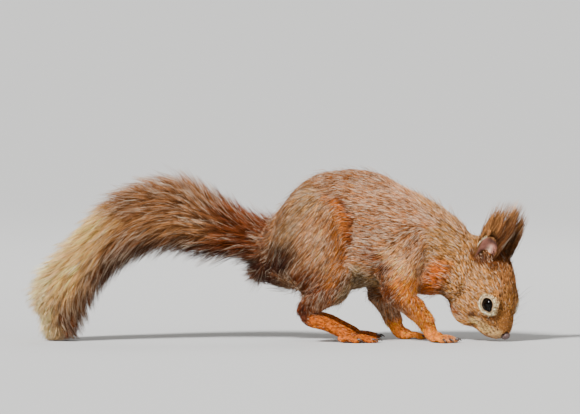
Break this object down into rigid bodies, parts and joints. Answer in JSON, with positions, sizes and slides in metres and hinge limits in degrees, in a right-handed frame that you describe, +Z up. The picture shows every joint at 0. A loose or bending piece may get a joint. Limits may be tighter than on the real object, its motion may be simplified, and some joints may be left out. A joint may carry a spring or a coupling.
{
  "type": "red squirrel",
  "caption": "Life-size red squirrel on all fours with an arched back, its nose lowered to the ground and turned to its right, its bushy tail trailing.",
  "frame": {"origin": "on the floor, at the middle of the model's box in plan", "axes": "+X from the tail towards the head, +Y to the squirrel's left, +Z up"},
  "size_m": [0.3288, 0.0706, 0.114],
  "materials": {
    "body_fur": "short smooth fur on skin, grizzled brown with silvery tips",
    "leg_fur": "short bright orange-rufous fur on skin",
    "ear_fur": "thin furred ear with dark rufous tuft",
    "tail_fur": "long loose brush of rufous hair, straw-coloured towards the tip",
    "eye": "wet black, high gloss",
    "nose_skin": "bare, finely pebbled, slightly moist skin",
    "claw": "dark smooth horn"
  },
  "bodies": {
    "root": {"head": "body_fur", "muzzle": "body_fur", "nose": "nose_skin", "eye_right": "eye", "eye_left": "eye", "ear_right": "ear_fur", "ear_left": "ear_fur", "neck": "body_fur", "chest": "body_fur", "belly": "body_fur", "rump": "body_fur", "upper_arm_right": "leg_fur", "upper_arm_left": "leg_fur", "forearm_right": "leg_fur", "forearm_left": "leg_fur", "hand_right": "leg_fur", "hand_left": "leg_fur", "thigh_right": "body_fur", "thigh_left": "body_fur", "shank_right": "leg_fur", "shank_left": "leg_fur", "foot_right": "leg_fur", "foot_left": "leg_fur", "tail_base": "tail_fur", "tail_fore": "tail_fur", "tail_middle": "tail_fur", "tail_end": "tail_fur", "tail_tip": "tail_fur"}
  },
  "joints": []
}
